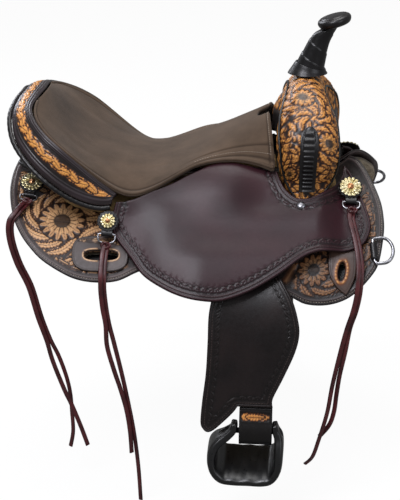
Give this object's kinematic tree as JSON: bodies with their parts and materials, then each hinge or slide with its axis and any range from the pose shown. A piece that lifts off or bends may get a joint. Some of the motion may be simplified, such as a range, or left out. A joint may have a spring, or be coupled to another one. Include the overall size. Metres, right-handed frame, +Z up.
{
  "type": "trail saddle",
  "caption": "Western trail saddle with a suede seat, horn, tooled skirts, jockeys, fenders, stirrups, conchos and hanging strings.",
  "frame": {"origin": "on the horse's back at its spine, under the middle of the seat", "axes": "+X towards the horn and the horse's head, +Y towards the horse's left side, +Z up"},
  "size_m": [0.6263, 0.6754, 0.762],
  "materials": {
    "tooled_leather": "floral tooling, oiled tan on a dark ground",
    "smooth_leather": "smooth dark brown, soft sheen",
    "black_leather": "near black, soft sheen",
    "suede": "matte grey-brown suede",
    "string_leather": "dark red oiled latigo leather",
    "fleece": "cream woolly fleece",
    "rawhide_wood": "wood under rawhide",
    "nickel": "bright nickel plate",
    "gold": "pale gold plate with a copper boss",
    "steel": "plain steel"
  },
  "bodies": {
    "saddle": {"skirt_right": "tooled_leather", "skirt_left": "tooled_leather", "skirt_fleece_right": "fleece", "skirt_fleece_left": "fleece", "cinch_plate_right": "smooth_leather", "cinch_plate_left": "smooth_leather", "latigo_plate_right": "smooth_leather", "latigo_plate_left": "smooth_leather", "tree_bar_right": "rawhide_wood", "tree_bar_left": "rawhide_wood", "tree_fork": "rawhide_wood", "tree_cantle": "rawhide_wood", "swell_cover": "tooled_leather", "swell_strap_right": "smooth_leather", "swell_strap_left": "smooth_leather", "horn_core": "steel", "horn_neck_wrap": "black_leather", "horn_collar": "black_leather", "horn_cap": "black_leather", "seat": "suede", "ground_seat": "smooth_leather", "cantle_roll": "tooled_leather", "cantle_back": "black_leather", "cantle_binding": "black_leather", "seat_jockey_right": "smooth_leather", "seat_jockey_left": "smooth_leather", "rear_jockey_right": "black_leather", "rear_jockey_left": "black_leather", "concho_rear_right": "gold", "concho_rear_left": "gold", "concho_middle_right": "gold", "concho_middle_left": "gold", "concho_front_right": "gold", "concho_front_left": "gold", "breast_dee_keeper_right": "smooth_leather", "breast_dee_keeper_left": "smooth_leather", "string_rear_a": "string_leather", "string_rear_b": "string_leather", "string_middle_a": "string_leather", "string_middle_b": "string_leather", "string_front_a": "string_leather", "string_front_b": "string_leather"},
    "fender_body_right": {"fender_right": "black_leather", "stirrup_leather_right": "black_leather", "stirrup_keeper_right": "black_leather"},
    "fender_body_left": {"fender_left": "black_leather", "stirrup_leather_left": "black_leather", "stirrup_keeper_left": "black_leather"},
    "stirrup_body_right": {"stirrup_right": "black_leather", "stirrup_bolt_right": "steel"},
    "stirrup_body_left": {"stirrup_left": "black_leather", "stirrup_bolt_left": "steel"},
    "breast_dee_body_right": {"breast_dee_right": "nickel"},
    "breast_dee_body_left": {"breast_dee_left": "nickel"},
    "rear_dee_body_right": {"string_dee_rear_right": "nickel"},
    "rear_dee_body_left": {"string_dee_rear_left": "nickel"},
    "middle_dee_body_right": {"string_dee_middle_right": "nickel"},
    "middle_dee_body_left": {"string_dee_middle_left": "nickel"},
    "front_dee_body_right": {"string_dee_front_right": "nickel"},
    "front_dee_body_left": {"string_dee_front_left": "nickel"}
  },
  "joints": [
    {"name": "fender_swing_right", "type": "hinge", "parent": "saddle", "child": "fender_body_right", "pos_m": [0.102, -0.128, 0.01], "axis": [0, -0.9848, 0.1736], "range_deg": [-15, 15]},
    {"name": "fender_swing_left", "type": "hinge", "parent": "saddle", "child": "fender_body_left", "pos_m": [0.102, 0.128, 0.01], "axis": [0, -0.9848, -0.1736], "range_deg": [-15, 15]},
    {"name": "stirrup_swing_right", "type": "hinge", "parent": "fender_body_right", "child": "stirrup_body_right", "pos_m": [0.113, -0.2987, -0.3102], "axis": [-1, 0, 0], "range_deg": [-40, 40]},
    {"name": "stirrup_swing_left", "type": "hinge", "parent": "fender_body_left", "child": "stirrup_body_left", "pos_m": [0.113, 0.2987, -0.3102], "axis": [1, 0, 0], "range_deg": [-40, 40]},
    {"name": "breast_dee_turn_right", "type": "hinge", "parent": "saddle", "child": "breast_dee_body_right", "pos_m": [0.288, -0.1927, -0.04509], "axis": [0.1219, -0.6603, -0.741], "range_deg": [0, 110]},
    {"name": "breast_dee_turn_left", "type": "hinge", "parent": "saddle", "child": "breast_dee_body_left", "pos_m": [0.288, 0.1927, -0.04509], "axis": [-0.1219, -0.6603, 0.741], "range_deg": [0, 110]},
    {"name": "rear_dee_turn_right", "type": "hinge", "parent": "saddle", "child": "rear_dee_body_right", "pos_m": [-0.26475, -0.13324, 0.01138], "axis": [-0.9934, -0.0195, 0.1126], "range_deg": [0, 75]},
    {"name": "rear_dee_turn_left", "type": "hinge", "parent": "saddle", "child": "rear_dee_body_left", "pos_m": [-0.26475, 0.13324, 0.01138], "axis": [0.9934, -0.0195, -0.1126], "range_deg": [0, 75]},
    {"name": "middle_dee_turn_right", "type": "hinge", "parent": "saddle", "child": "middle_dee_body_right", "pos_m": [-0.1295, -0.19918, -0.02743], "axis": [-0.9972, -0.0295, 0.0687], "range_deg": [0, 75]},
    {"name": "middle_dee_turn_left", "type": "hinge", "parent": "saddle", "child": "middle_dee_body_left", "pos_m": [-0.1295, 0.19918, -0.02743], "axis": [0.9972, -0.0295, -0.0687], "range_deg": [0, 75]},
    {"name": "front_dee_turn_right", "type": "hinge", "parent": "saddle", "child": "front_dee_body_right", "pos_m": [0.25137, -0.13102, 0.01446], "axis": [-0.9931, -0.1119, 0.0353], "range_deg": [0, 75]},
    {"name": "front_dee_turn_left", "type": "hinge", "parent": "saddle", "child": "front_dee_body_left", "pos_m": [0.25137, 0.13102, 0.01446], "axis": [0.9931, -0.1119, -0.0353], "range_deg": [0, 75]}
  ]
}
